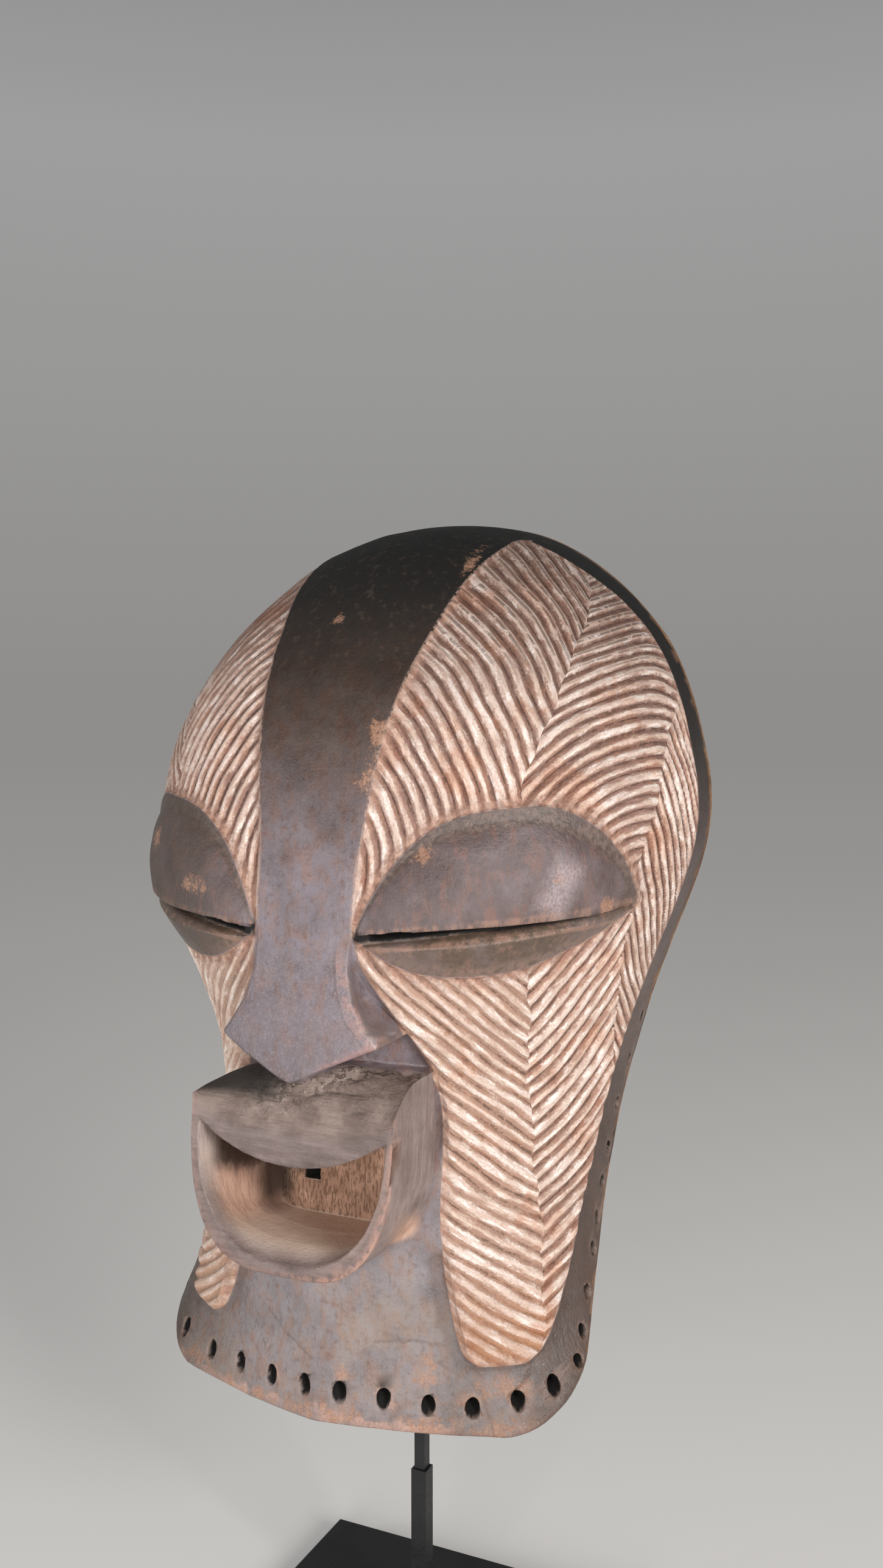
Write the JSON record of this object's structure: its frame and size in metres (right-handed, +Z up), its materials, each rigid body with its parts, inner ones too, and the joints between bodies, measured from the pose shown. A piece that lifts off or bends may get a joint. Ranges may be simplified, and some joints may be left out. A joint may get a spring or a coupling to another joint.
{
  "type": "songye mask on a stand",
  "caption": "Carved wooden face mask with a smooth crest and nose, slit eyes, box mouth and a pierced collar, hollow behind, held on a slim black steel stand.",
  "frame": {"origin": "middle of the foot plate's underside", "axes": "+Z up, the face looks along -Y, +X is to the right of someone who faces the mask"},
  "size_m": [0.2178, 0.1726, 0.471],
  "materials": {
    "carved_wood": "dark patinated wood with a dull sheen, kaolin-rubbed striped panels and worn brown edges",
    "stand_steel": "satin black paint"
  },
  "bodies": {
    "root": {"mask": "carved_wood", "mount_stem": "stand_steel", "mount_sleeve": "stand_steel", "base_plate": "stand_steel"}
  },
  "joints": []
}
